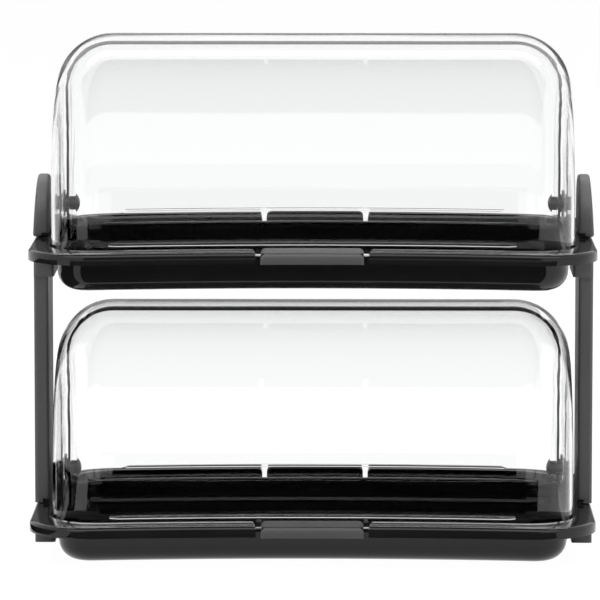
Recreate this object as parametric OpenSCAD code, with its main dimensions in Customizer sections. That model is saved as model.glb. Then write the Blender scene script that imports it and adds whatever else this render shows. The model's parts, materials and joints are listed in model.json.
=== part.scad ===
// Two-tier countertop display bin with roll-top hoods.
// X runs along the long side, Y from front to back, Z up; the origin is on the
// table, under the middle of the bin. All sizes are in millimetres.

/* [Hood] */
// Outside width of the hood, over its end walls
hood_w = 412; // [360:0.4:500]
// Outside radius of the front hood shell about the pivot
hood_r = 136.4; // [125:0.2:150]
// Radius of the rounded end corners of the front shell
hood_corner_r = 45; // [38:1:56]
// Wall of the clear shells
shell_wall = 2.4; // [2:0.1:3]
// Radial gap between the two nested shells
nest_gap = 3.8; // [3:0.1:6]
// Gap between the end walls of the two nested shells
end_gap = 3.2; // [3:0.1:5]
// Height of the pivot above the tray rim
pivot_h = 24.1; // [22:0.1:28]
// How far each shell reaches past the pivot at the top
shell_overlap = 7; // [4:0.5:9]
// How far the front finger lip stands out
front_lip_out = 5.2; // [3:0.1:6]
// How far the rear finger lip stands out, less than the gap between the shells
rear_lip_out = 2.8; // [1.5:0.1:2.9]
// Thickness of the finger lips
lip_t = 2.4; // [1.6:0.1:3]
// Gap under the shells when the hood is shut
seat_gap = 0.4; // [0.3:0.1:0.8]
// Height of the finger lips above the rim
lip_rise = 2.9; // [1:0.1:4]
// Length of the stop nub on the top edge of the front shell
nub_l = 14; // [8:1:24]

/* [Pivots] */
// Diameter of the pivot shank
shank_d = 8; // [6:0.5:9]
// Diameter of the outer head and of the domed cap
head_d = 14.8; // [13:0.2:17]
// Thickness of the outer head
head_t = 1.4; // [1:0.1:2]
// Depth of the dish in the end wall that takes the outer head
dish_depth = 1.6; // [1.6:0.1:1.8]
// Diameter of the barrel of the cap
barrel_d = 11; // [10:0.5:12]
// Length of the barrel of the cap
barrel_l = 5.6; // [5:0.2:9]
// Height of the dome of the cap
dome_h = 3.4; // [3:0.2:6]
// Play between a shank and the hole that turns on it, on the radius
turn_play = 0.05; // [0.03:0.01:0.1]
// Play between pieces that lie face to face
face_play = 0.2; // [0.15:0.05:0.3]

/* [Tray] */
// Wall of the tray moulding
tray_wall = 2.6; // [2.2:0.1:2.8]
// Width of the rim along the front and the back
long_rim_w = 22; // [18:0.5:30]
// Width of the rim at the two ends
end_rim_w = 15.4; // [14.6:0.2:20]
// Play between the hood and its seat, front and back
seat_play_y = 1.6; // [1:0.1:3]
// Play between the hood and its seat, at the ends
seat_play_x = 1.8; // [1:0.1:3]
// Depth of the hood seat below the rim
seat_depth = 6; // [5:0.5:8]
// Height of the rim skirt
skirt_h = 9.2; // [9:0.2:14]
// Rounding of the outer shoulder of the rim
shoulder_r = 3; // [3:0.2:5]
// Fall of the rim top from its ridge to the shoulder
rim_fall = 0.6; // [0.4:0.1:1.6]
// Width of the falling part of the rim top
rim_fall_w = 12; // [10:0.5:12.5]
// Radius of the outer corners of the rim
rim_corner_r = 52; // [46:1:60]
// Depth of the pan below the rim
pan_depth = 34.4; // [32:0.2:50]
// Rounding between the walls and the floor of the pan, outside
pan_fillet = 16; // [10:0.5:18]
// Width of the hood seat left inside the rear shell
seat_margin = 2.3; // [1.5:0.1:5]
// Overhang of the rim beyond the ends of the pan
pan_inset = 22.4; // [20:0.2:24]
// Height of the shallow arch under the floor of the pan
arch_h = 0.8; // [0.4:0.1:1.2]

/* [Grips] */
// Length of the grip bars in the long rims
grip_l = 80; // [60:1:120]
// Gap in the rim at each end of a grip bar
grip_notch = 4; // [3:0.2:6]
// Thickness of the matt grip sleeve
grip_skin = 1.4; // [1:0.1:1.6]
// Rounding of the rim beside the gaps
notch_round_r = 4; // [2:0.2:4.4]

/* [Stand] */
// Free height between the lower hood and the upper tray
tier_gap = 19.6; // [14:0.2:60]
// Depth of an upright, front to back
post_d = 68; // [50:1:90]
// Thickness of an upright
post_t = 11.6; // [11:0.1:12]
// How far the outside of the stand stands out past the rim
post_proud = 0.2; // [0:0.1:1]
// Height of the underside of the feet above the table
foot_clear = 2.8; // [0:0.1:5]
// How far the foot of a finger cap stands out past the upright
cap_spread = 0.6; // [0:0.1:1]
// How far the top of a finger cap leans in from the upright
cap_lean = 2.2; // [1:0.1:3]
// Height of the finger caps above the upper rim
cap_h = 47.6; // [44:0.2:60]
// Width of the notches at the foot of an upright and of a cap
foot_notch_w = 5.3; // [4:0.1:6]
// Height of those notches
foot_notch_h = 3.4; // [2:0.1:5]
// Thickness of the tongues that join the stand
tongue_t = 4.8; // [4:0.1:5]
// Depth of the tongues, front to back
tongue_d = 56; // [40:1:80]
// Length of the tongues below the rim
tongue_l = 25; // [18:1:26]
// Number of finger ribs on a cap
cap_ribs = 5; // [3:1:6]
// Spacing of the finger ribs
cap_rib_pitch = 6.4; // [5:0.2:7]
// Radius of a finger rib
cap_rib_r = 1.1; // [0.8:0.1:1.4]

/* [Hidden] */
$fn = 96;
// Overlap of cutting bodies past the faces that they cut
over = 1;
// How much larger the corners of the seat are than those of the hood
seat_corner_more = 1;
// How much smaller the corners of the pan are than those of the hood
pan_corner_less = 12;
// Flat border of the floor beside the arch, at the ends and along the sides
arch_end = 30;
arch_side = 16;
arch_corner_r = 14;
// Gap between the top of the seat wall and the top of the rim
seat_wall_gap = 0.5;
// Height of the sill that the gaps beside the grips leave above the seat
notch_sill = 0.5;
// Width of a boss around the outer head of its pivot
boss_margin = 4;
// Step from the shank down to the spigot, on the diameter, and the spigot's length
spigot_step = 3;
spigot_l = 4;
// Height of the stop nub above the front shell
nub_rise = 0.8;
// How far a collar reaches under the hood seat
collar_reach = 0.6;
// How much further a collar runs than its upright, at the front and at the back
collar_margin = 2;
// Rounding of the upright edges of the stand
edge_round = 2.6;
// Rounding of the outer top edge of a finger cap
cap_top_r = 2.2;
// Chamfer at the tip of a tongue
tongue_lead = 1;
// Margin between the ends of the finger ribs and the edges of a cap
rib_inset = 5;
// Half width and half depth of the hood seat opening
seat_x = hood_w / 2 + seat_play_x;
seat_y = hood_r + seat_play_y;
seat_corner = hood_corner_r + seat_corner_more;
// Half width and half depth of the tray
tray_x = seat_x + end_rim_w;
tray_y = seat_y + long_rim_w;
// Rear shell, nested in the front one
rear_r = hood_r - shell_wall - nest_gap;
rear_half = hood_w / 2 - shell_wall - end_gap;
rear_corner_r = hood_corner_r - shell_wall - nest_gap;
// Drop from the pivot to the lower edge of the shells
shell_drop = pivot_h + seat_depth - seat_gap;
// Pan
pan_x = tray_x - pan_inset;
pan_inner_y = sqrt(pow(rear_r - shell_wall, 2) - pow(pivot_h + seat_depth, 2)) - seat_margin;
pan_y = pan_inner_y + tray_wall;
pan_corner = hood_corner_r - pan_corner_less;
// Heights of the two rims above the table
lower_z = pan_depth;
upper_z = lower_z + pivot_h + hood_r + tier_gap + pan_depth;
// Pivot faces along X, measured outwards
dish_x = hood_w / 2 - dish_depth;
boss_x = dish_x - shell_wall;
boss_r = head_d / 2 + boss_margin;
cap_seat_x = rear_half - shell_wall - face_play;
spigot_d = shank_d - spigot_step;
// Stand faces along X, measured outwards
stand_out_x = tray_x + post_proud;
post_in_x = stand_out_x - post_t;
collar_in_x = seat_x - collar_reach;
riser_x = seat_x + tray_wall;
skirt_in_x = tray_x - tray_wall;
tongue_x = (riser_x + skirt_in_x) / 2;

// Rectangle with true round corners, given by its half sizes
module round_rect(half_x, half_y, r) {
  square([2 * half_x, 2 * (half_y - r)], center = true);
  square([2 * (half_x - r), 2 * half_y], center = true);
  for (sx = [-1, 1])
    for (sy = [-1, 1])
      translate([sx * (half_x - r), sy * (half_y - r)]) circle(r);
}

// Runs a profile round a rounded rectangle. The profile is drawn with its
// X measured from the centre of a corner and its Y up.
module run_round(half_x, half_y, r) {
  for (k = [0 : 3]) {
    sx = (k == 0 || k == 3) ? 1 : -1;
    sy = (k < 2) ? 1 : -1;
    translate([sx * (half_x - r), sy * (half_y - r), 0])
      rotate([0, 0, 90 * k]) rotate_extrude(angle = 90) children();
  }
  for (s = [0, 180]) {
    rotate([0, 0, s]) translate([half_x - r, half_y - r, 0])
      rotate([90, 0, 0]) linear_extrude(2 * (half_y - r)) children();
    rotate([0, 0, s + 90]) translate([half_y - r, half_x - r, 0])
      rotate([90, 0, 0]) linear_extrude(2 * (half_x - r)) children();
  }
}

// Solid outline of the rim profile, inset by a skin; x is the distance from
// the outer edge, negative inwards, and the ridge is at height zero
module rim_outline(skin, reach) {
  r = shoulder_r - skin;
  fall_z = -rim_fall - shoulder_r;
  translate([-shoulder_r, fall_z]) circle(r);
  translate([-reach, -skirt_h]) square([reach - skin, skirt_h + fall_z]);
  polygon([
    [-reach, -skirt_h],
    [-shoulder_r, -skirt_h],
    [-shoulder_r, -rim_fall - skin],
    [-rim_fall_w, -skin],
    [-reach, -skin]
  ]);
}

// The rim profile as a thin wall, open below
module rim_wall() {
  difference() {
    rim_outline(0, rim_fall_w);
    difference() {
      rim_outline(tray_wall, rim_fall_w);
      translate([-rim_fall_w - over, -tray_wall]) square([rim_fall_w + over, tray_wall + over]);
    }
    translate([-rim_fall_w - over, -skirt_h - over]) square([rim_fall_w + over - tray_wall, 2 * over]);
  }
}

// Wall and rounded lower edge of the pan
module pan_wall() {
  fillet_z = -pan_depth + pan_fillet;
  translate([pan_corner - tray_wall, fillet_z]) square([tray_wall, -seat_depth - fillet_z]);
  translate([pan_corner - pan_fillet, fillet_z])
    intersection() {
      difference() {
        circle(pan_fillet);
        circle(pan_fillet - tray_wall);
      }
      translate([0, -pan_fillet]) square(pan_fillet);
    }
}

// One gap beside a grip bar, open from the seat wall outwards and rounded at
// the top of the rim; its Y starts at the seat wall
module notch_cut() {
  length = long_rim_w + 2 * over;
  sill_z = notch_sill - seat_depth;
  translate([0, length - over, 0]) rotate([90, 0, 0]) linear_extrude(length) {
    translate([-grip_notch / 2, sill_z]) square([grip_notch, over - sill_z]);
    difference() {
      translate([-grip_notch / 2 - notch_round_r, -notch_round_r])
        square([grip_notch + 2 * notch_round_r, notch_round_r + over]);
      for (s = [-1, 1])
        translate([s * (grip_notch / 2 + notch_round_r), -notch_round_r]) circle(notch_round_r);
    }
  }
  translate([-grip_notch / 2, tray_wall, -skirt_h - over])
    cube([grip_notch, long_rim_w, skirt_h + sill_z + 2 * over]);
}

// The gaps at both ends of a grip bar
module notch_pair() {
  for (s = [-1, 1])
    translate([s * (grip_l + grip_notch) / 2, seat_y, 0]) notch_cut();
}

// Hood seat, rim and pan of one tray, with its ridge at height zero
module tray_body() {
  run_round(tray_x, tray_y, rim_corner_r) translate([rim_corner_r, 0]) rim_wall();
  plateau_x = tray_x - rim_fall_w;
  plateau_y = tray_y - rim_fall_w;
  plateau_r = rim_corner_r - rim_fall_w;
  translate([0, 0, -tray_wall]) linear_extrude(tray_wall)
    difference() {
      round_rect(plateau_x, plateau_y, plateau_r);
      round_rect(seat_x, seat_y, seat_corner);
    }
  translate([0, 0, -seat_depth - tray_wall]) linear_extrude(seat_depth + tray_wall - seat_wall_gap)
    difference() {
      round_rect(riser_x, seat_y + tray_wall, seat_corner + tray_wall);
      round_rect(seat_x, seat_y, seat_corner);
    }
  translate([0, 0, -seat_depth - tray_wall]) linear_extrude(tray_wall)
    difference() {
      round_rect(riser_x, seat_y + tray_wall, seat_corner + tray_wall);
      round_rect(pan_x - tray_wall, pan_inner_y, pan_corner - tray_wall);
    }
  run_round(pan_x, pan_y, pan_corner) pan_wall();
  floor_x = pan_x - pan_fillet;
  floor_y = pan_y - pan_fillet;
  translate([0, 0, -pan_depth]) linear_extrude(tray_wall)
    round_rect(floor_x, floor_y, pan_corner - pan_fillet);
}

// Tray with the gaps beside its grips, the reduced bars that the grips cover,
// the tongue slots in its ends and the arch under its floor
module tray() {
  color("#101011")
  difference() {
    tray_body();
    for (side = [0, 180])
      rotate([0, 0, side]) {
        notch_pair();
        translate([0, tray_y, 0]) grip_sleeve_space();
        translate([tongue_x, 0, -tray_wall])
          cube([tongue_t + 3 * face_play, tongue_d + 3 * face_play, 4 * tray_wall], center = true);
      }
    arch_x = pan_x - pan_fillet - arch_end;
    arch_y = pan_y - pan_fillet - arch_side;
    translate([0, 0, -pan_depth - over]) linear_extrude(over + arch_h)
      round_rect(arch_x, arch_y, arch_corner_r);
  }
}

// Space that a grip sleeve takes off the outside of its bar
module grip_sleeve_space() {
  rotate([90, 0, 90]) translate([0, 0, -grip_l / 2]) linear_extrude(grip_l)
    grip_profile(over);
}

// Skin of the rim profile along a grip; the reach is how far it runs past the rim
module grip_profile(reach) {
  grip_in = long_rim_w - tray_wall;
  difference() {
    union() {
      rim_outline(0, grip_in);
      translate([-grip_in, -tray_wall]) square([grip_in + reach, tray_wall + reach]);
      translate([-tray_wall, -skirt_h - reach]) square([tray_wall + reach, skirt_h + reach]);
    }
    rim_outline(grip_skin, grip_in + over);
    translate([-grip_in - over, -skirt_h - 2 * over])
      square([grip_in + over - tray_wall, skirt_h + over]);
    translate([-tray_wall - over, -skirt_h - 2 * over])
      square([tray_wall + over - grip_skin, 3 * over]);
  }
}

// Matt sleeve over a grip bar
module grip(side) {
  color("#3a3b3d")
  rotate([0, 0, side])
    difference() {
      translate([0, tray_y, 0]) rotate([90, 0, 90]) translate([0, 0, -grip_l / 2])
        linear_extrude(grip_l) grip_profile(0);
      notch_pair();
    }
}

// Section of a shell through the pivot line: half width, radius and corner
module loaf_half(half, r, corner) {
  square([half - corner, r]);
  square([half, r - corner]);
  translate([half - corner, r - corner]) circle(corner);
}

// Closed loaf-shaped skin, round about the pivot line
module loaf_skin(half, r, corner) {
  for (s = [0, 1])
    mirror([s, 0, 0])
      rotate([0, 90, 0]) rotate_extrude()
        intersection() {
          rotate(-90) mirror([1, 0])
            difference() {
              loaf_half(half, r, corner);
              loaf_half(half - shell_wall, r - shell_wall, corner - shell_wall);
            }
          square([r + over, half + over]);
        }
}

// Side view of the part of the round that a shell covers, front shell first;
// drawn with X as front to back and Y up from the pivot
module shell_cover(reach) {
  translate([-reach - over, -shell_drop]) square([reach + over, shell_drop + reach + over]);
  square([shell_overlap, reach + over]);
  circle(boss_r);
}

// A shell of one hood about its pivot line
module shell(half, r, corner, lip_out, dished) {
  hole_d = shank_d + 2 * turn_play;
  lip_z = -pivot_h + lip_rise;
  lip_half = half - corner;
  difference() {
    union() {
      intersection() {
        loaf_skin(half, r, corner);
        rotate([90, 0, 90]) translate([0, 0, -half - over]) linear_extrude(2 * half + 2 * over)
          shell_cover(r);
      }
      translate([0, -sqrt(pow(r, 2) - pow(lip_z, 2)) + shell_wall / 2 - lip_out, lip_z])
        translate([-lip_half, 0, 0]) cube([2 * lip_half, lip_out, lip_t]);
      if (dished) {
        for (s = [-1, 1])
          translate([s * (boss_x + dish_depth / 2 + shell_wall / 2), 0, 0]) rotate([0, 90, 0])
            cylinder(h = dish_depth + shell_wall, r = boss_r, center = true);
        translate([0, shell_overlap - shell_wall / 2, r - shell_wall / 2])
          cube([nub_l, shell_wall, shell_wall + nub_rise], center = true);
      }
    }
    rotate([0, 90, 0]) cylinder(h = 2 * half + 4 * over, d = hole_d, center = true);
    if (dished)
      for (s = [-1, 1])
        translate([s * (dish_x + dish_depth), 0, 0]) rotate([0, 90, 0])
          cylinder(h = 2 * dish_depth, d = head_d + 2 * dish_depth, center = true);
  }
}

module front_shell() {
  color("#dfe6ea", 0.3)
    shell(hood_w / 2, hood_r, hood_corner_r, front_lip_out, true);
}

module rear_shell() {
  color("#dfe6ea", 0.3)
    rotate([0, 0, 180]) shell(rear_half, rear_r, rear_corner_r, rear_lip_out, false);
}

// Pivot pin of the right-hand end, lying along X from the pivot line
module pivot_pin() {
  color("#1a1a1b")
  rotate([0, 90, 0]) {
    translate([0, 0, dish_x + face_play - over]) cylinder(h = head_t + over, d = shank_d);
    translate([0, 0, dish_x + face_play]) cylinder(h = head_t, d = head_d);
    translate([0, 0, cap_seat_x - barrel_l + spigot_l])
      cylinder(h = dish_x + face_play - cap_seat_x + barrel_l - spigot_l, d = shank_d);
    translate([0, 0, cap_seat_x - barrel_l]) cylinder(h = spigot_l + over, d = spigot_d);
  }
}

// Washer between the two shells
module pivot_washer() {
  gap = boss_x - rear_half;
  color("#2b2b2c")
  translate([rear_half + gap / 2, 0, 0]) rotate([0, 90, 0])
    difference() {
      cylinder(h = gap - face_play, d = head_d, center = true);
      cylinder(h = gap + over, d = shank_d + 2 * turn_play, center = true);
    }
}

// Cap with its barrel and its dome, bored for the shank and the spigot
module pivot_cap() {
  dome_r = (pow(head_d / 2, 2) + pow(dome_h, 2)) / (2 * dome_h);
  color("#1a1a1b")
  translate([cap_seat_x, 0, 0]) rotate([0, -90, 0])
    rotate_extrude()
      difference() {
        union() {
          square([barrel_d / 2, barrel_l + over / 2]);
          translate([0, barrel_l])
            intersection() {
              square([head_d / 2, dome_h]);
              translate([0, dome_h - dome_r]) circle(dome_r);
            }
        }
        translate([0, -over]) square([shank_d / 2 + turn_play, barrel_l - spigot_l + over + face_play]);
        square([spigot_d / 2 + turn_play, barrel_l + face_play]);
        translate([-dome_r * 2, -over]) square([dome_r * 2, dome_r * 3]);
      }
}

// Puts a pivot piece of the right-hand end at one end of the pivot line
module at_end(s) {
  mirror([s < 0 ? 1 : 0, 0, 0]) children();
}

// Block under the end rim that carries the tray and takes a tongue
module collar() {
  tenon_z = -rim_fall - tray_wall - 3 * face_play;
  seat_z = -seat_depth - tray_wall - face_play;
  block_z = min(-skirt_h - face_play, seat_z);
  block_low = foot_clear - pan_depth;
  difference() {
    union() {
      translate([0, 0, block_low]) linear_extrude(block_z - block_low)
        translate([(collar_in_x + stand_out_x) / 2, 0])
          round_rect((stand_out_x - collar_in_x) / 2, post_d / 2 + collar_margin, edge_round);
      translate([collar_in_x, -tongue_d / 2, block_z - over])
        cube([riser_x - collar_in_x, tongue_d, seat_z - block_z + over]);
      translate([riser_x + face_play, -post_d / 2, block_z - over])
        cube([skirt_in_x - riser_x - 2 * face_play, post_d, tenon_z - block_z + over]);
    }
    translate([tongue_x, 0, -tongue_l / 2])
      cube([tongue_t + 2 * face_play, tongue_d + 2 * face_play, tongue_l + face_play], center = true);
  }
}

// Tongue that hangs below the foot of an upright or of a finger cap
module tongue() {
  translate([tongue_x, 0, 0])
    difference() {
      translate([-tongue_t / 2, -tongue_d / 2, -tongue_l + face_play])
        cube([tongue_t, tongue_d, tongue_l + over]);
      for (s = [-1, 1])
        translate([s * tongue_t / 2, 0, -tongue_l + face_play]) rotate([0, 45, 0])
          cube([tongue_lead, tongue_d + over, tongue_lead], center = true);
    }
}

// Notches at the front and at the back of a foot, open to the inside
module foot_notches() {
  depth = (post_d - tongue_d) / 2 - face_play;
  for (s = [-1, 1])
    translate([post_in_x - over, s * (post_d / 2 - depth / 2 + over / 2) - (depth + over) / 2, -over])
      cube([foot_notch_w + over, depth + over, foot_notch_h + over]);
}

// Right-hand upright, with the lower rim at height zero
module upright_body() {
  rise = upper_z - lower_z;
  difference() {
    translate([0, 0, face_play]) linear_extrude(rise - pan_depth + foot_clear - face_play + over)
      translate([(post_in_x + stand_out_x) / 2, 0])
        round_rect(post_t / 2, post_d / 2, edge_round);
    foot_notches();
  }
  tongue();
  translate([0, 0, rise]) collar();
}

module upright(s) {
  color("#232426")
  at_end(s) translate([0, 0, lower_z]) upright_body();
}

module foot(s) {
  color("#232426")
  at_end(s) translate([0, 0, lower_z]) collar();
}

// Side view of a finger cap, arched at its top
module cap_arch() {
  r = post_d / 2;
  translate([0, cap_h - r]) circle(r);
  translate([-r, 0]) square([2 * r, cap_h - r]);
}

// Side of a finger cap from in front: upright inside, rounded at its outer top edge
module cap_side(top_x) {
  difference() {
    translate([post_in_x, face_play]) square([2 * post_t, cap_h - face_play]);
    translate([top_x - cap_top_r, cap_h - cap_top_r])
      difference() {
        square(2 * post_t);
        circle(cap_top_r);
      }
  }
}

// Finger cap of the right-hand end, with the upper rim at height zero; its
// outer face leans in and carries the ribs
module finger_cap_body() {
  spread = cap_spread + cap_lean;
  lean = atan(spread / cap_h);
  difference() {
    intersection() {
      rotate([90, 0, 0]) translate([0, 0, -post_d]) linear_extrude(2 * post_d)
        cap_side(stand_out_x - cap_lean);
      rotate([90, 0, 90]) linear_extrude(3 * tray_x) cap_arch();
      translate([stand_out_x + cap_spread, 0, 0]) rotate([0, -lean, 0])
        union() {
          translate([-post_t, 0, -over]) linear_extrude(2 * cap_h)
            round_rect(post_t, post_d / 2, edge_round);
          for (k = [1 : cap_ribs])
            translate([-cap_rib_r / 2, 0, k * cap_rib_pitch]) rotate([90, 0, 0])
              cylinder(h = post_d - 2 * rib_inset, r = cap_rib_r, center = true);
        }
    }
    foot_notches();
  }
  tongue();
}

module finger_cap(s) {
  color("#2a2b2d")
  at_end(s) translate([0, 0, upper_z]) finger_cap_body();
}

module at_tier(z) {
  translate([0, 0, z]) children();
}

module at_pivot(z) {
  translate([0, 0, z + pivot_h]) children();
}

at_tier(upper_z) tray();  // upper_tray
at_tier(lower_z) tray();  // lower_tray
at_tier(upper_z) grip(180);  // upper_front_grip
at_tier(upper_z) grip(0);  // upper_rear_grip
at_tier(lower_z) grip(180);  // lower_front_grip
at_tier(lower_z) grip(0);  // lower_rear_grip
at_pivot(upper_z) front_shell();  // upper_front_shell
at_pivot(upper_z) rear_shell();  // upper_rear_shell
at_pivot(lower_z) front_shell();  // lower_front_shell
at_pivot(lower_z) rear_shell();  // lower_rear_shell
at_pivot(upper_z) at_end(-1) pivot_pin();  // upper_left_pin
at_pivot(upper_z) at_end(1) pivot_pin();  // upper_right_pin
at_pivot(lower_z) at_end(-1) pivot_pin();  // lower_left_pin
at_pivot(lower_z) at_end(1) pivot_pin();  // lower_right_pin
at_pivot(upper_z) at_end(-1) pivot_washer();  // upper_left_washer
at_pivot(upper_z) at_end(1) pivot_washer();  // upper_right_washer
at_pivot(lower_z) at_end(-1) pivot_washer();  // lower_left_washer
at_pivot(lower_z) at_end(1) pivot_washer();  // lower_right_washer
at_pivot(upper_z) at_end(-1) pivot_cap();  // upper_left_pivot_cap
at_pivot(upper_z) at_end(1) pivot_cap();  // upper_right_pivot_cap
at_pivot(lower_z) at_end(-1) pivot_cap();  // lower_left_pivot_cap
at_pivot(lower_z) at_end(1) pivot_cap();  // lower_right_pivot_cap
upright(-1);  // left_upright
upright(1);  // right_upright
foot(-1);  // left_foot
foot(1);  // right_foot
finger_cap(-1);  // left_finger_cap
finger_cap(1);  // right_finger_cap
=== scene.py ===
"""Looks of the two-tier countertop display bin with clear roll-top hoods."""

import json
import math

import bmesh
import bpy
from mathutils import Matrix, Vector

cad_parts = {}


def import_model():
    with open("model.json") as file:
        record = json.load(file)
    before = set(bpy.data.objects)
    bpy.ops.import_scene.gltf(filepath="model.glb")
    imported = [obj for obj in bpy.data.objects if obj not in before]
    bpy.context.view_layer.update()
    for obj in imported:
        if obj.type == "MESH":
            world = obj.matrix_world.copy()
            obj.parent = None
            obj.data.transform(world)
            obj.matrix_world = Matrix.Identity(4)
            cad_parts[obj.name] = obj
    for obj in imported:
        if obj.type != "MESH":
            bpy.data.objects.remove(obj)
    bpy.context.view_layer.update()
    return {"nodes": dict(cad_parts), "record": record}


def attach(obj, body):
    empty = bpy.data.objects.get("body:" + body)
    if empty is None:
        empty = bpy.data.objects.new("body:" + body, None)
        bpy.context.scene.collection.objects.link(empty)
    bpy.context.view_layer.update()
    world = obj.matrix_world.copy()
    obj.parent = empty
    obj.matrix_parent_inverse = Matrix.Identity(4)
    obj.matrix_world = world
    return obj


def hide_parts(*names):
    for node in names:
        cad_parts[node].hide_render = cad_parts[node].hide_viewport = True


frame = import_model()
nodes = frame["nodes"]

# Sizes in metres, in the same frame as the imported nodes. Heights on a tray count from its rim's top.
RIM_Z = {"lower": 0.0344, "upper": 0.2489}
PIVOT_H = 0.0241

# Trays
TRAY_X, TRAY_Y, RIM_R = 0.2232, 0.160, 0.052
SEAT_X, SEAT_Y, SEAT_R = 0.2078, 0.138, 0.046
PAN_X, PAN_Y, PAN_R = 0.1982, 0.1219, 0.0254
WALL = 0.0026
SEAT_Z, SKIRT_Z, PAN_Z = -0.006, -0.0092, -0.0344
SEAT_MID_Z, SKIRT_MID_Z = -0.003, -0.0064
FILLET_R, SILL = 0.0134, 0.0005
SHOULDER_R, SHOULDER_Z, SHOULDER_SKIN = 0.003, -0.0036, 0.0004
RIM_FLAT_W, RIM_FALL_W = 0.0155, 0.012
RIM_SLOPE_W, RIM_SLOPE_Z = 0.0075, -0.0003
ARCH_X, ARCH_Y, ARCH_R, ARCH_H = 0.1548, 0.0925, 0.014, 0.0008
GRIP_X, NOTCH_X, NOTCH_R, GRIP_SKIN = 0.040, 0.044, 0.004, 0.0014
NOTCH_STEPS = (0.0, 0.25, 0.5, 0.75, 0.9, 1.0)
CAMBER, CAMBER_X = 0.002, 0.185
TRAY_EDGE = 0.0005

# Grip sleeves: their cross-section as depth from the middle of the tray and height
GRIP_LINE = [
    (0.1408, -0.0013), (0.1408, 0.0002), (0.1413, 0.0009), (0.1424, 0.0012), (0.148, 0.0005),
    (0.154, -0.0004), (0.1572, -0.0011), (0.1588, -0.0019), (0.1597, -0.0031), (0.16, -0.0046),
    (0.16, -0.0092), (0.1597, -0.0100), (0.1590, -0.0103), (0.1584, -0.0100), (0.1584, -0.0036),
    (0.1568, -0.0024), (0.148, -0.0015),
]
GRIP_MORE, GRIP_EDGE_Z, GRIP_LOW_Z, GRIP_LOW_GAP, GRIP_SQUASH = 0.0001, -0.0095, -0.0103, 0.0002, 0.05

# Hood shells
FRONT_SHELL = {"half": 0.206, "r": 0.1364, "corner": 0.045, "lip": 0.0052, "dish": 0.0016}
REAR_SHELL = {"half": 0.2004, "r": 0.1302, "corner": 0.0388, "lip": 0.0028, "dish": 0.0}
SHELL_WALL, EDGE_DROP, REACH, BOSS_R = 0.0024, 0.0297, 0.007, 0.0114
PIN_HOLE_R, DISH_RADII, DISH_EDGE_R = 0.00405, (0.0065, 0.0088), 0.0096
END_RADII = (0.015, 0.020, 0.025, EDGE_DROP, 0.036, 0.044, 0.054, 0.066, 0.078)
SHELL_EDGE, CAMBER_FADE = 0.0006, 0.07
LIP_RISE, LIP_T, LIP_EDGE_OUT, LIP_EDGE_UP = 0.0029, 0.0024, 0.0004, 0.0005
SWEEP_STEPS, COLLAR_STEPS, BEND_STEPS, LIP_STEPS = 72, 20, 14, 40

# Finger caps
POST_IN, POST_HALF, CAP_OUT, CAP_LEAN, CAP_H = 0.2118, 0.034, 0.224, 0.0028, 0.0476
CAP_GAP, CAP_EDGE = 0.0002, 0.0022
FOOT_NOTCH_X, FOOT_NOTCH_Y, FOOT_NOTCH_Z, OVER = 0.0053, 0.0058, 0.0034, 0.001
RIBS, RIB_PITCH, RIB_R, RIB_SINK, RIB_INSET = 5, 0.0064, 0.0011, 0.0006, 0.005

# Camera, fitted to the photograph: focal length and picture width in pixels, angles in degrees
FOCAL_PIXELS, PICTURE_PIXELS, SENSOR_MM = 5234, 600, 36
EYE, PITCH, TURN = (0.0304, -4.185, 0.6909), -6.764, 0.567

# Height of the studio cards that lie over the floor
CARD_LIFT = 0.001


# Node trees

class Socket:
    """A node's output that Python's arithmetic works on."""

    def __init__(self, tree, out):
        self.tree = tree
        self.out = out

    def maths(self, operation, other=0.0):
        return self.tree.maths(operation, self, other)

    def clamped(self):
        return self.maths("MAXIMUM", 0.0).maths("MINIMUM", 1.0)

    def __add__(self, other):
        return self.maths("ADD", other)

    def __sub__(self, other):
        return self.maths("SUBTRACT", other)

    def __mul__(self, other):
        return self.maths("MULTIPLY", other)

    def __truediv__(self, other):
        return self.maths("DIVIDE", other)

    def __rsub__(self, other):
        return self.tree.maths("SUBTRACT", other, self)

    __radd__ = __add__
    __rmul__ = __mul__


class Tree:
    """Adds nodes to a shader or geometry tree."""

    def __init__(self, tree):
        self.tree = tree

    def maths(self, operation, first, second):
        return self.node("ShaderNodeMath", {"operation": operation}, {0: first, 1: second})

    def node(self, kind, settings=None, sockets=None, out=0):
        """A new node's output; its settings are set before its sockets."""
        n = self.tree.nodes.new(kind)
        for key, value in (settings or {}).items():
            setattr(n, key, value)
        for key, value in (sockets or {}).items():
            if isinstance(value, Socket):
                self.tree.links.new(value.out, n.inputs[key])
            else:
                n.inputs[key].default_value = value
        return Socket(self, n.outputs[out]) if n.outputs else None

    def split(self, vector):
        """The three parts of a vector."""
        n = self.tree.nodes.new("ShaderNodeSeparateXYZ")
        self.tree.links.new(vector.out, n.inputs[0])
        return [Socket(self, part) for part in n.outputs]

    def join(self, x, y, z):
        return self.node("ShaderNodeCombineXYZ", None, {0: x, 1: y, 2: z})

    def feed(self, value, shader, key):
        self.tree.links.new(value.out, shader.inputs[key])

    def noise(self, scale, detail=2.0, stretch=(1, 1, 1)):
        """Noise in the piece's own coordinates."""
        place = self.node("ShaderNodeTexCoord", out=3)
        spread = self.node("ShaderNodeMapping", None, {"Vector": place, "Scale": stretch})
        return self.node("ShaderNodeTexNoise", None, {"Vector": spread, "Scale": scale, "Detail": detail})

    def bump(self, height, distance, strength):
        values = {"Height": height, "Distance": distance, "Strength": strength}
        return self.node("ShaderNodeBump", None, values)

    def shade(self, dark, light, factor):
        """A grey between two shades."""
        ends = {0: factor, 6: (*dark, 1), 7: (*light, 1)}
        return self.node("ShaderNodeMix", {"data_type": "RGBA"}, ends, out=2)


# Materials

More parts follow.
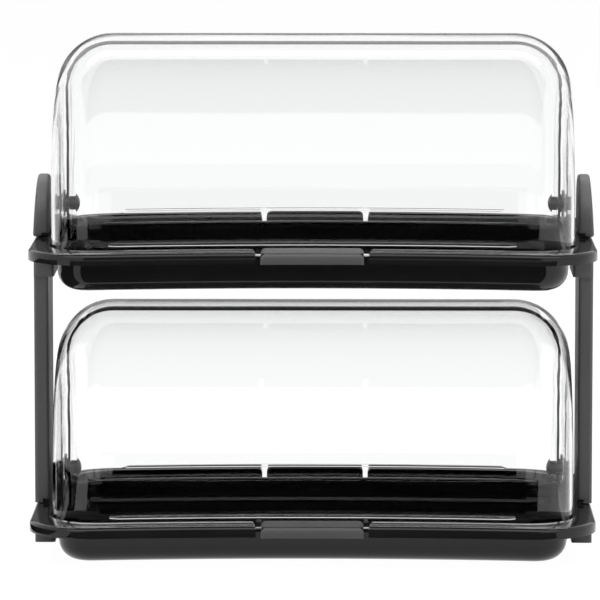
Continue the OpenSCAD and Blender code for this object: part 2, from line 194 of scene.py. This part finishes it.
def surface(name, colour, rough, **fixed):
    """A Principled material, its tree and its shader node."""
    mat = bpy.data.materials.new(name)
    mat.use_nodes = True
    shader = mat.node_tree.nodes["Principled BSDF"]
    shader.inputs["Base Color"].default_value = (*colour, 1)
    shader.inputs["Roughness"].default_value = rough
    for key, value in fixed.items():
        shader.inputs[key.replace("_", " ")].default_value = value
    return mat, Tree(mat.node_tree), shader


def gloss_black():
    """Polished moulding of the trays, a little uneven."""
    mat, t, shader = surface("polished_black", (0.008, 0.008, 0.0082), 0.1, Specular_IOR_Level=0.35)
    t.feed(t.shade((0.006, 0.006, 0.0062), (0.011, 0.011, 0.0112), t.noise(35, 3)), shader, "Base Color")
    t.feed(t.noise(9) * 0.05 + t.noise(700, 2) * 0.02 + 0.045, shader, "Roughness")
    t.feed(t.bump(t.noise(26, 1), 0.0006, 0.10), shader, "Normal")
    return mat


def grip_grey():
    """Matt, finely grained grip sleeves."""
    mat, t, shader = surface("matt_grip", (0.065, 0.065, 0.066), 0.6, Specular_IOR_Level=0.4)
    t.feed(t.shade((0.045, 0.045, 0.046), (0.066, 0.066, 0.067), t.noise(900, 3)), shader, "Base Color")
    t.feed(t.noise(320, 3) * 0.2 + 0.5, shader, "Roughness")
    t.feed(t.bump(t.noise(1400, 3), 0.0002, 0.35), shader, "Normal")
    return mat


def stand_black():
    """Satin uprights, feet and caps."""
    mat, t, shader = surface("satin_stand", (0.085, 0.085, 0.086), 0.5, Specular_IOR_Level=0.35)
    t.feed(t.shade((0.075, 0.075, 0.076), (0.1, 0.1, 0.101), t.noise(500, 3)), shader, "Base Color")
    t.feed(t.noise(40, 3) * 0.2 + 0.42, shader, "Roughness")
    t.feed(t.bump(t.noise(900, 3), 0.0002, 0.3), shader, "Normal")
    return mat


def pivot_black():
    """Dark pins, washers and pivot caps."""
    mat, t, shader = surface("pivot_black", (0.02, 0.02, 0.021), 0.3)
    t.feed(t.shade((0.016, 0.016, 0.017), (0.028, 0.028, 0.029), t.noise(400, 2)), shader, "Base Color")
    t.feed(t.noise(200, 2) * 0.15 + 0.25, shader, "Roughness")
    return mat


def clear_hood():
    """Clear shell, nearly flat in the middle and wavier towards its moulded end corners."""
    wave_from, wave_over = 0.155, 0.03
    mat, t, shader = surface("clear_hood", (0.99, 0.993, 0.993), 0.0, Transmission_Weight=1.0, IOR=1.38)
    along = t.split(t.node("ShaderNodeTexCoord", out=3))[0]
    corner = ((along.maths("ABSOLUTE") - wave_from) / wave_over).clamped()
    wavy = t.noise(14, 1, (0.4, 1, 1)) + t.noise(34, 1, (1, 1, 0.5)) * corner * 1.1
    t.feed(t.bump(wavy, 0.0016, 0.2), shader, "Normal")
    return mat


finishes = {
    "gloss_black": gloss_black(), "grip_grey": grip_grey(), "stand_black": stand_black(),
    "pivot_black": pivot_black(), "clear_hood": clear_hood(),
}
for part in frame["record"]["subparts"]:
    carried = nodes[part["node"]]
    carried.data.materials.clear()
    carried.data.materials.append(finishes[part["material_slot"]])


# Mesh helpers

def camber(x):
    """How much higher a tray stands at this place along its length."""
    return CAMBER * max(0.0, 1 - (x / CAMBER_X) ** 2)


def quarter_turn(steps):
    return [math.pi / 2 * k / steps for k in range(steps + 1)]


def piece_from(name, bm):
    """An object in the scene from a mesh under construction."""
    mesh = bpy.data.meshes.new(name)
    bm.to_mesh(mesh)
    bm.free()
    piece = bpy.data.objects.new(name, mesh)
    bpy.context.scene.collection.objects.link(piece)
    return piece


def bake(piece):
    """Turns the modifiers of a piece into its plain mesh."""
    graph = bpy.context.evaluated_depsgraph_get()
    graph.update()
    plain = bpy.data.meshes.new_from_object(piece.evaluated_get(graph))
    piece.modifiers.clear()
    piece.data = plain


def round_edges(piece, width, segments, over_degrees):
    """Adds a bevel on the edges that turn by more than this angle."""
    edge = piece.modifiers.new("rounded", "BEVEL")
    edge.width, edge.segments = width, segments
    edge.limit_method, edge.angle_limit = "ANGLE", math.radians(over_degrees)


def combine(piece, other, operation, solver):
    """Joins another solid to a piece or cuts it away, and removes the other."""
    step = piece.modifiers.new("combined", "BOOLEAN")
    step.operation, step.object, step.solver = operation, other, solver
    bake(piece)
    bpy.data.objects.remove(other)


def set_inputs(modifier, values):
    """Sets a node modifier's inputs by the identifiers of their sockets."""
    for item in modifier.node_group.interface.items_tree:
        if item.in_out == "INPUT" and item.name in values:
            modifier[item.identifier] = values[item.name]


def dress(piece, finish, sharp=32.0):
    piece.data.materials.clear()
    piece.data.materials.append(finishes[finish])
    piece.data.shade_smooth()
    piece.data.set_sharp_from_angle(angle=math.radians(sharp))


def finished(name, bm, finish, sharp=32.0, rounded=0.0, steps=2):
    """A smooth-shaded object from a closed mesh, with its edges rounded."""
    bmesh.ops.remove_doubles(bm, verts=bm.verts, dist=1e-6)
    bmesh.ops.dissolve_degenerate(bm, edges=bm.edges, dist=1e-7)
    bmesh.ops.recalc_face_normals(bm, faces=bm.faces)
    piece = piece_from(name, bm)
    if rounded:
        round_edges(piece, rounded, steps, 40)
        bake(piece)
    dress(piece, finish, sharp)
    return piece


def add_loop(bm, points):
    return [bm.verts.new(p) for p in points]


def add_face(bm, corners):
    """A face without repeated corners."""
    kept = [v for i, v in enumerate(corners) if v not in corners[:i]]
    if len(kept) > 2:
        bm.faces.new(kept)


def add_tube(bm, loops):
    """A closed solid through a row of equal outlines, with both ends filled."""
    for a, b in zip(loops, loops[1:]):
        for i in range(len(a)):
            k = (i + 1) % len(a)
            add_face(bm, (a[i], a[k], b[k], b[i]))
    add_face(bm, loops[0])
    add_face(bm, loops[-1])


def prism(bm, outline, x0, x1, lean=0.0):
    """A solid from an outline in depth and height, run along X; its second end leans in with height."""
    start = add_loop(bm, [(x0, y, z) for y, z in outline])
    end = add_loop(bm, [(x1 - lean * z, y, z) for y, z in outline])
    add_tube(bm, [start, end])


def place(bm, z, mirrored=False):
    """Lifts a mesh and, for the left-hand end, mirrors it."""
    for v in bm.verts:
        v.co.z += z
        if mirrored:
            v.co.x = -v.co.x


# Trays

def tray_columns():
    """Places along a long side and what the rim is there: open below, an end wall or a gap."""
    rounding = [NOTCH_R * (1 - s) for s in NOTCH_STEPS]
    hollow = [d for d in rounding if d >= WALL]
    solid = [d for d in rounding if d < WALL]
    grip_side = [(x / 1000, "open") for x in (0, 12, 24)] + [(GRIP_X - d, "open") for d in hollow]
    grip_side += [(GRIP_X - WALL, "open"), (GRIP_X - WALL, "end")] + [(GRIP_X - d, "end") for d in solid]
    rim_side = [(NOTCH_X + d, "end") for d in reversed(solid)]
    rim_side += [(NOTCH_X + WALL, "end"), (NOTCH_X + WALL, "open")]
    rim_side += [(NOTCH_X + d, "open") for d in reversed(hollow)]
    rim_side += [(x / 1000, "open") for x in range(56, 153, 12)]
    right = grip_side + [(GRIP_X, "gap"), (NOTCH_X, "gap")] + rim_side
    left = [(-x, kind) for x, kind in reversed(right[1:])]
    return left + right


COLUMNS = tray_columns()
SIDE_ROWS = [y / 1000 for y in range(-80, 81, 20)]
ARC = quarter_turn(14)


def rim_top(x):
    """Lowering of the rim where it rounds down into a gap beside a grip."""
    d = abs(x)
    off = d - (GRIP_X - NOTCH_R) if d <= GRIP_X else (NOTCH_X + NOTCH_R) - d
    if off <= 0:
        return 0.0
    return math.sqrt(max(0.0, NOTCH_R ** 2 - min(off, NOTCH_R) ** 2)) - NOTCH_R


def long_side(columns, y, z, part, sign):
    """Points of a ring along the front or the back, sunk under the sleeve and rounded at the gaps."""
    points = []
    for x, kind in columns:
        depth, height = y, z
        under_sleeve = abs(x) <= GRIP_X + 1e-6 and y > SEAT_Y + WALL
        if part in ("top", "under") and under_sleeve:
            depth = min(y, TRAY_Y - GRIP_SKIN)
            if part == "top":
                height = min(z, -GRIP_SKIN)
            elif z > SKIRT_Z:
                height = z - GRIP_SKIN
        if part in ("top", "inside") and kind != "gap":
            height = min(height, rim_top(x))
        if part == "under" and kind == "end":
            height = min(height, SKIRT_Z)
        points.append((x, sign * depth, height + camber(x)))
    return points


def ring(half_x, half_y, r, z, part):
    """One closed line round the tray. The part says which wall it is on."""
    def corner(sx, sy, from_side):
        cx, cy = half_x - r, half_y - r
        angles = ARC if from_side else [math.pi / 2 - a for a in ARC]
        return [(sx * (cx + r * math.cos(a)), sy * (cy + r * math.sin(a)), z + camber(cx + r * math.cos(a)))
                for a in angles]

    points = long_side(COLUMNS, half_y, z, part, -1)
    points += corner(1, -1, False)
    points += [(half_x, y, z) for y in SIDE_ROWS]
    points += corner(1, 1, True)
    points += long_side(COLUMNS[::-1], half_y, z, part, 1)
    points += corner(-1, 1, False)
    points += [(-half_x, y, z) for y in SIDE_ROWS[::-1]]
    points += corner(-1, -1, True)
    return points


def tray_rings():
    """The wall's cross-section from the inside of the floor, over the rim, to the underside."""
    def rim(inset, z, part):
        return TRAY_X - inset, TRAY_Y - inset, RIM_R - inset, z, part

    def seat(outset, z, part):
        return SEAT_X + outset, SEAT_Y + outset, SEAT_R + outset, z, part

    def pan(outset, z):
        return PAN_X + outset, PAN_Y + outset, PAN_R + outset, z, "pan"

    bend_z = PAN_Z + WALL + FILLET_R
    bend = quarter_turn(7)
    rings = [pan(-FILLET_R * (1 - math.cos(a)), bend_z - FILLET_R * math.sin(a)) for a in reversed(bend)]
    rings += [pan(0, (bend_z + SEAT_Z) / 2), pan(0, SEAT_Z)]
    rings += [seat(0, SEAT_Z, "pan"), seat(0, SEAT_Z + SILL, "pan")]
    sill_in = len(rings) - 1
    rings += [seat(0, SEAT_MID_Z, "inside"), seat(0, 0.0, "inside")]
    rings += [rim(RIM_FLAT_W, 0.0, "top"), rim(RIM_FALL_W, 0.0, "top")]
    rings += [rim(RIM_SLOPE_W, RIM_SLOPE_Z, "top")]
    rings += [rim(SHOULDER_R * (1 - math.cos(a)), SHOULDER_Z + SHOULDER_R * math.sin(a), "top")
              for a in reversed(quarter_turn(6))]
    rings += [rim(0, SKIRT_MID_Z, "top"), rim(0, SKIRT_Z, "top")]
    rings += [rim(WALL, SKIRT_Z, "under"), rim(WALL, SHOULDER_Z, "under")]
    rings += [rim(SHOULDER_R, SHOULDER_Z + SHOULDER_SKIN, "under"), rim(RIM_FALL_W, -WALL, "under")]
    rings += [seat(WALL, -WALL, "under"), seat(WALL, SEAT_Z + SILL, "sill")]
    sill_out = len(rings) - 1
    rings += [seat(WALL, SEAT_Z - WALL, "pan"), pan(WALL, SEAT_Z - WALL)]
    out_r = FILLET_R + WALL
    rings += [pan(WALL - out_r * (1 - math.cos(a)), bend_z - out_r * math.sin(a)) for a in bend]
    rings += [(ARCH_X, ARCH_Y, ARCH_R, PAN_Z, "pan"), (ARCH_X, ARCH_Y, ARCH_R, PAN_Z + ARCH_H, "pan")]
    return rings, sill_in, sill_out


def close_floor(bm, loop):
    """Fills a ring from its front to its back."""
    n, s, a = len(COLUMNS), len(SIDE_ROWS), len(ARC)
    spans = []
    for length in (n, a, s, a, n, a, s, a):
        spans.append(loop[:length])
        loop = loop[length:]
    front, right_front, right, right_back, back, left_back, left, left_front = spans
    near = left_front + front + right_front
    far = (right_back + back + left_back)[::-1]
    for i in range(1, len(near) - 2):
        add_face(bm, (near[i], near[i + 1], far[i + 1], far[i]))
    add_face(bm, [near[-2], near[-1]] + right + [far[-1], far[-2]])
    add_face(bm, [far[1], far[0]] + left + [near[0], near[1]])


def tray(name, z):
    """One tray moulding, open below its rim, with the gaps beside its grips."""
    rings, sill_in, sill_out = tray_rings()
    bm = bmesh.new()
    loops = [add_loop(bm, ring(*spec)) for spec in rings]
    count = len(loops[0])
    last_back = 2 * len(COLUMNS) + 2 * len(ARC) + len(SIDE_ROWS) - 1
    kinds = [None] * count
    for i, (x, kind) in enumerate(COLUMNS):
        kinds[i] = kind
        kinds[last_back - i] = kind
    for i in range(count):
        k = (i + 1) % count
        gaps = (kinds[i] == "gap") + (kinds[k] == "gap")
        for j in range(len(loops) - 1):
            if sill_in <= j < sill_out and gaps:
                continue
            add_face(bm, (loops[j][i], loops[j][k], loops[j + 1][k], loops[j + 1][i]))
        if gaps == 2:
            add_face(bm, (loops[sill_in][i], loops[sill_in][k], loops[sill_out][k], loops[sill_out][i]))
        if gaps == 1:
            wall, gap = (k, i) if kinds[i] == "gap" else (i, k)
            cap = [loops[j][wall] for j in range(sill_in, sill_out + 2)]
            add_face(bm, cap + [loops[sill_out][gap]])
    close_floor(bm, loops[0])
    close_floor(bm, loops[-1])
    place(bm, z)
    return finished(name, bm, "gloss_black", rounded=TRAY_EDGE)


# Grips

def grip_height(h, drop):
    """Height of a point of the sleeve's cross-section where its end is rounded down by this drop."""
    lowered = h - drop if h > GRIP_EDGE_Z else h
    return max(lowered, GRIP_LOW_Z + GRIP_LOW_GAP + (h - GRIP_LOW_Z) * GRIP_SQUASH)


def grip(name, z, side):
    """Matt sleeve over the bar in the middle of a long rim, with a sloping top and rounded ends."""
    half = GRIP_X + GRIP_MORE
    end = [-half + NOTCH_R * (1 - math.cos(a)) for a in quarter_turn(8)]
    along = end + [x / 1000 for x in range(-30, 31, 6)] + [-x for x in reversed(end)]
    bm = bmesh.new()
    loops = []
    for x in along:
        off = max(0.0, abs(x) - (half - NOTCH_R))
        drop = NOTCH_R - math.sqrt(max(0.0, NOTCH_R ** 2 - off ** 2))
        lift = z + camber(x)
        loops.append(add_loop(bm, [(x, side * y, lift + grip_height(h, drop)) for y, h in GRIP_LINE]))
    add_tube(bm, loops)
    return finished(name, bm, "grip_grey", sharp=40.0)


# Hoods

def shell_rule(wall_finish):
    """Tree that rolls a flat sheet of width, radius and sweep into a hood shell about its pivot line."""
    group = bpy.data.node_groups.new("rolled_shell", "GeometryNodeTree")
    face = group.interface
    face.new_socket("Sheet", in_out="INPUT", socket_type="NodeSocketGeometry")
    for key in ("Edge drop", "Reach past the top", "Boss radius", "Side", "Pivot height"):
        face.new_socket(key, in_out="INPUT", socket_type="NodeSocketFloat")
    face.new_socket("Shell", in_out="OUTPUT", socket_type="NodeSocketGeometry")
    t = Tree(group)
    given = group.nodes.new("NodeGroupInput")
    sheet, drop, reach, boss, side, height = (Socket(t, given.outputs[i]) for i in range(6))
    x, radius, sweep = t.split(t.node("GeometryNodeInputPosition"))
    wide = radius.maths("MAXIMUM", boss)
    low = 0.0 - (drop / wide).maths("MINIMUM", 1.0).maths("ARCSINE")
    high = math.pi / 2 + (reach / wide).maths("ARCSINE")
    first = sweep.maths("MINIMUM", 1.0)
    rest = sweep.maths("MAXIMUM", 1.0) - 1.0
    angle = low + first * (high - low) + rest * (1.5 * math.pi - high)
    up = radius * angle.maths("SINE")
    across = radius * angle.maths("COSINE") * side
    fade = 1.0 - ((up + drop) / CAMBER_FADE).clamped()
    bow = 1.0 - (x / CAMBER_X) * (x / CAMBER_X)
    rise = bow.maths("MAXIMUM", 0.0) * CAMBER * fade
    spot = t.join(x, across, up + height + rise)
    moved = t.node("GeometryNodeSetPosition", None, {"Geometry": sheet, "Position": spot})
    merged = t.node("GeometryNodeMergeByDistance", None, {"Geometry": moved, "Distance": 0.00001})
    real = t.node("GeometryNodeRealizeInstances", None, {0: merged})
    done = t.node("GeometryNodeSetMaterial", None, {"Geometry": real, "Material": wall_finish})
    t.node("NodeGroupOutput", None, {0: done})
    return group


def flat_sheet(name, spec, side):
    """The sheet that the rule rolls: X is the width, Y the radius and Z the sweep from edge to edge.

    A sweep of 0 to 1 is the shell. From 1 to 2 it closes the boss round the pin.
    """
    half, r, corner = spec["half"], spec["r"], spec["corner"]
    boss = [(half - spec["dish"], v) for v in (PIN_HOLE_R, *DISH_RADII)]
    boss += [(half, DISH_EDGE_R), (half, BOSS_R)]
    row = boss + [(half, v) for v in END_RADII]
    row += [(half - corner + corner * math.cos(a), r - corner + corner * math.sin(a))
            for a in quarter_turn(BEND_STEPS)]
    row += [((half - corner) * k / 14, r) for k in range(13, 0, -1)]
    line = row + [(0.0, r)] + [(-x, v) for x, v in reversed(row)]
    bm = bmesh.new()
    grid = [add_loop(bm, [(x, v, k / SWEEP_STEPS) for k in range(SWEEP_STEPS + 1)]) for x, v in line]
    turns = [1 + k / COLLAR_STEPS for k in range(1, COLLAR_STEPS + 1)]
    collars = []
    for i in [*range(len(boss)), *range(len(line) - len(boss), len(line))]:
        x, v = line[i]
        collars.append([grid[i][-1]] + add_loop(bm, [(x, v, turn) for turn in turns]))
    for rows in (grid, collars[:len(boss)], collars[len(boss):]):
        for a, b in zip(rows, rows[1:]):
            for i in range(len(a) - 1):
                corners = (a[i], a[i + 1], b[i + 1], b[i])
                bm.faces.new(corners if side > 0 else corners[::-1])
    return piece_from(name, bm)


def lip_bar(name, spec, side, height):
    """Finger lip along the lower part of a shell, rounded at both ends."""
    half = spec["half"] - spec["corner"]
    low = LIP_RISE - PIVOT_H
    inner = math.sqrt(spec["r"] ** 2 - low ** 2) - SHELL_WALL / 2
    bm = bmesh.new()
    loops = []
    for k in range(LIP_STEPS + 1):
        x = half * (2 * k / LIP_STEPS - 1)
        off = max(0.0, abs(x) - (half - spec["lip"]))
        out = inner + math.sqrt(max(1e-8, spec["lip"] ** 2 - off ** 2))
        base = low + height + camber(x)
        line = [(inner, 0.0), (out - LIP_EDGE_OUT, 0.0), (out, LIP_EDGE_UP), (out, LIP_T - LIP_EDGE_UP),
                (out - LIP_EDGE_OUT, LIP_T), (inner, LIP_T)]
        loops.append(add_loop(bm, [(x, -side * y, base + h) for y, h in line]))
    add_tube(bm, loops)
    return finished(name, bm, "clear_hood")


def face_outwards(piece):
    """Merges the doubles of an open shell and turns its faces away from the pivot line."""
    bm = bmesh.new()
    bm.from_mesh(piece.data)
    bmesh.ops.remove_doubles(bm, verts=bm.verts, dist=1e-5)
    bmesh.ops.recalc_face_normals(bm, faces=bm.faces)
    top = max(bm.faces, key=lambda f: f.calc_center_median().z)
    if top.normal.z < 0:
        bmesh.ops.reverse_faces(bm, faces=bm.faces)
    bm.to_mesh(piece.data)
    bm.free()


def hood(name, spec, side, height, rule):
    """A clear shell with its wall and its finger lip."""
    piece = flat_sheet(name, spec, side)
    roll = piece.modifiers.new("roll", "NODES")
    roll.node_group = rule
    set_inputs(roll, {"Edge drop": EDGE_DROP, "Reach past the top": REACH, "Boss radius": BOSS_R,
                      "Side": float(-side), "Pivot height": height})
    bake(piece)
    face_outwards(piece)
    wall = piece.modifiers.new("wall", "SOLIDIFY")
    wall.thickness, wall.offset = SHELL_WALL, -1
    wall.use_even_offset = True
    round_edges(piece, SHELL_EDGE, 2, 60)
    bake(piece)
    combine(piece, lip_bar(name + "_lip", spec, side, height), "UNION", "MANIFOLD")
    dress(piece, "clear_hood")
    return piece


# Stand

def rib_rule(rib_finish):
    """Tree that repeats a finger rib up the leaning outer face of a cap."""
    group = bpy.data.node_groups.new("finger_ribs", "GeometryNodeTree")
    face = group.interface
    face.new_socket("Ribs", in_out="INPUT", socket_type="NodeSocketInt")
    for key in ("Spacing", "Lean", "Radius", "Length", "Foot X", "Foot Z"):
        face.new_socket(key, in_out="INPUT", socket_type="NodeSocketFloat")
    face.new_socket("Ribs", in_out="OUTPUT", socket_type="NodeSocketGeometry")
    t = Tree(group)
    given = group.nodes.new("NodeGroupInput")
    count, spacing, lean, radius, length, foot_x, foot_z = (Socket(t, given.outputs[i]) for i in range(7))
    bead = t.node("GeometryNodeMeshUVSphere", None, {"Segments": 16, "Rings": 24, "Radius": 1.0})
    turned = t.node("GeometryNodeTransform", None, {"Geometry": bead, "Rotation": (math.pi / 2, 0, 0)})
    size = t.join(radius, length, radius)
    long_bead = t.node("GeometryNodeTransform", None, {"Geometry": turned, "Scale": size})
    step = t.join(0.0 - spacing * lean, 0.0, spacing)
    start = t.join(foot_x, 0.0, foot_z)
    line = t.node("GeometryNodeMeshLine", None, {"Count": count, "Start Location": start, "Offset": step})
    rows = t.node("GeometryNodeInstanceOnPoints", None, {"Points": line, "Instance": long_bead})
    real = t.node("GeometryNodeRealizeInstances", None, {0: rows})
    done = t.node("GeometryNodeSetMaterial", None, {"Geometry": real, "Material": rib_finish})
    t.node("NodeGroupOutput", None, {0: done})
    return group


def foot_notches(name):
    """Blocks that cut the small notches at the inner foot of a cap."""
    bm = bmesh.new()
    for s in (-1, 1):
        y0, y1 = sorted((s * (POST_HALF + OVER), s * (POST_HALF - FOOT_NOTCH_Y)))
        block = [(y0, -OVER), (y1, -OVER), (y1, FOOT_NOTCH_Z), (y0, FOOT_NOTCH_Z)]
        prism(bm, block, POST_IN - OVER, POST_IN + FOOT_NOTCH_X)
    return finished(name, bm, "stand_black")


def rib_rows(name, rule):
    """The finger ribs of one cap."""
    beads = piece_from(name, bmesh.new())
    rows = beads.modifiers.new("ribs", "NODES")
    rows.node_group = rule
    lean = CAP_LEAN / CAP_H
    set_inputs(rows, {"Ribs": RIBS, "Spacing": RIB_PITCH, "Lean": lean, "Radius": RIB_R,
                      "Length": POST_HALF - RIB_INSET, "Foot X": CAP_OUT - RIB_SINK - RIB_PITCH * lean,
                      "Foot Z": RIB_PITCH})
    bake(beads)
    return beads


def finger_cap(name, mirrored, rule):
    """Cap that stands beside the end of the upper hood, arched above and ribbed outside."""
    bm = bmesh.new()
    r = POST_HALF
    arch = [math.pi * k / 32 for k in range(33)]
    outline = [(-r, CAP_GAP), (r, CAP_GAP)] + [(r * math.cos(a), CAP_H - r + r * math.sin(a)) for a in arch]
    prism(bm, outline, POST_IN, CAP_OUT, CAP_LEAN / CAP_H)
    body = finished(name, bm, "stand_black", rounded=CAP_EDGE, steps=4)
    combine(body, foot_notches(name + "_gap"), "DIFFERENCE", "EXACT")
    beads = rib_rows(name + "_beads", rule)
    bm = bmesh.new()
    bm.from_mesh(body.data)
    bm.from_mesh(beads.data)
    bpy.data.objects.remove(beads)
    bpy.data.objects.remove(body)
    place(bm, RIM_Z["upper"], mirrored)
    return finished(name, bm, "stand_black")


# Dressed pieces

def stand_in(piece, node, body):
    """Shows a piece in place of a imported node."""
    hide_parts(node)
    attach(piece, body)


for tier, z in RIM_Z.items():
    stand_in(tray(tier + "_tray_moulding", z), tier + "_tray", "stand")
    for end, side in (("front", -1), ("rear", 1)):
        sleeve = grip(f"{tier}_{end}_grip_sleeve", z, side)
        stand_in(sleeve, f"{tier}_{end}_grip", "stand")

roll_rule = shell_rule(finishes["clear_hood"])
for tier, z in RIM_Z.items():
    for end, spec, side in (("front", FRONT_SHELL, 1), ("rear", REAR_SHELL, -1)):
        shell = hood(f"{tier}_{end}_clear_shell", spec, side, z + PIVOT_H, roll_rule)
        stand_in(shell, f"{tier}_{end}_shell", f"{tier}_{end}_hood")

cap_ribs = rib_rule(finishes["stand_black"])
for side, mirrored in (("left", True), ("right", False)):
    cap = finger_cap(side + "_ribbed_cap", mirrored, cap_ribs)
    stand_in(cap, side + "_finger_cap", "stand")


# Floor, light and camera

def light_path(t, output):
    rays = t.tree.nodes.new("ShaderNodeLightPath")
    return Socket(t, rays.outputs[output])


def seen_rays(t):
    """One for camera, glossy and transmission rays."""
    direct = light_path(t, "Is Camera Ray") + light_path(t, "Is Transmission Ray")
    return direct.maths("MAXIMUM", light_path(t, "Is Glossy Ray"))


def stage_material(name):
    """An empty material and its tree."""
    mat = bpy.data.materials.new(name)
    mat.use_nodes = True
    mat.node_tree.nodes.clear()
    return mat, Tree(mat.node_tree)


def backdrop():
    """Wide pale floor that is white in the picture and still takes the bin's shadow."""
    mat, t = stage_material("pale_floor")
    plain = t.node("ShaderNodeBsdfDiffuse", None, {"Color": (0.8, 0.8, 0.8, 1)})
    white = t.node("ShaderNodeEmission", None, {"Color": (1, 1, 1, 1), "Strength": 1.06})
    mixed = t.node("ShaderNodeMixShader", None, {0: seen_rays(t) * 0.93, 1: plain, 2: white})
    t.node("ShaderNodeOutputMaterial", None, {"Surface": mixed})
    bpy.ops.mesh.primitive_circle_add(vertices=128, radius=14, fill_type="NGON", location=(0, 0, 0))
    floor = bpy.context.object
    floor.name = "floor"
    floor.data.materials.append(mat)


def world():
    """Dim fill light that looks white."""
    sky = bpy.data.worlds.new("studio")
    bpy.context.scene.world = sky
    sky.use_nodes = True
    sky.node_tree.nodes.clear()
    t = Tree(sky.node_tree)
    dim = t.node("ShaderNodeBackground", None, {"Color": (1, 1, 1, 1), "Strength": 0.06})
    white = t.node("ShaderNodeBackground", None, {"Color": (1, 1, 1, 1), "Strength": 1.0})
    mixed = t.node("ShaderNodeMixShader", None, {0: seen_rays(t), 1: dim, 2: white})
    t.node("ShaderNodeOutputWorld", None, {"Surface": mixed})


def level(z, *outline):
    """Corners of a level card at this height."""
    return [(x, y, z) for x, y in outline]


def upright(y, half, low, high):
    """Corners of an upright card across the view, from its lower to its upper edge."""
    return [(-half, y, low), (half, y, low), (half, y, high), (-half, y, high)]


def studio_card(name, corners, grey=0.0):
    """A card that only reflections see, also through the hoods, so that black stays deep."""
    mesh = bpy.data.meshes.new(name)
    mesh.from_pydata(corners, [], [range(len(corners))])
    mat, t = stage_material(name)
    glow = t.node("ShaderNodeEmission", None, {"Color": (1, 1, 1, 1), "Strength": grey})
    clear = t.node("ShaderNodeBsdfTransparent")
    mirrored = light_path(t, "Glossy Depth").maths("MINIMUM", 1.0)
    seen = t.node("ShaderNodeMixShader", None, {0: mirrored, 1: clear, 2: glow})
    t.node("ShaderNodeOutputMaterial", None, {"Surface": seen})
    mesh.materials.append(mat)
    card = bpy.data.objects.new(name, mesh)
    card.visible_camera = card.visible_diffuse = card.visible_shadow = False
    bpy.context.scene.collection.objects.link(card)


def softbox(name, azimuth, elevation, distance, width, height, power, mirrored=True):
    """An area lamp seen from the bin at this azimuth and elevation in degrees; azimuth 0 is in front."""
    az, el = math.radians(azimuth), math.radians(elevation)
    away = Vector((math.sin(az) * math.cos(el), -math.cos(az) * math.cos(el), math.sin(el)))
    data = bpy.data.lights.new(name, "AREA")
    data.shape = "RECTANGLE"
    data.size, data.size_y = width, height
    data.energy = power
    lamp = bpy.data.objects.new(name, data)
    middle = Vector((0, 0, 0.2))
    lamp.location = middle + away * distance
    lamp.rotation_euler = away.to_track_quat("Z", "Y").to_euler()
    lamp.visible_camera = False
    lamp.visible_transmission = False
    lamp.visible_glossy = mirrored
    bpy.context.scene.collection.objects.link(lamp)


def camera():
    data = bpy.data.cameras.new("camera")
    data.sensor_width = SENSOR_MM
    data.lens = FOCAL_PIXELS / PICTURE_PIXELS * SENSOR_MM
    data.clip_end = 100
    eye = bpy.data.objects.new("camera", data)
    eye.location = EYE
    eye.rotation_euler = (math.pi / 2 + math.radians(PITCH), 0, math.radians(TURN))
    bpy.context.scene.collection.objects.link(eye)
    bpy.context.scene.camera = eye


backdrop()
world()
softbox("front_softbox", 0, 50, 2.6, 5.0, 1.6, 38)
softbox("rear_strip", 180, 56, 2.6, 2.6, 0.3, 22)
softbox("top_softbox", 0, 80, 2.4, 4.0, 2.0, 150, mirrored=False)
studio_card("ceiling_card", level(2.2, (-1.7, -0.79), (1.7, -0.79), (1.7, 0.98), (-1.7, 0.98)))
studio_card("front_card", level(CARD_LIFT, (-0.25, -0.2), (0.24, -0.2), (3.3, -3.4), (-2.9, -3.4)))
studio_card("far_card", upright(-5, 1.6, CARD_LIFT, 1.7))
studio_card("horizon_card", upright(5, 2.2, 0.2, 1.5), 0.2)
studio_card("left_card", level(CARD_LIFT, (-0.3, -0.15), (-0.3, 0.4), (-3.0, 0.9), (-3.0, -1.5)))
camera()
bpy.context.scene.view_settings.view_transform = "Standard"
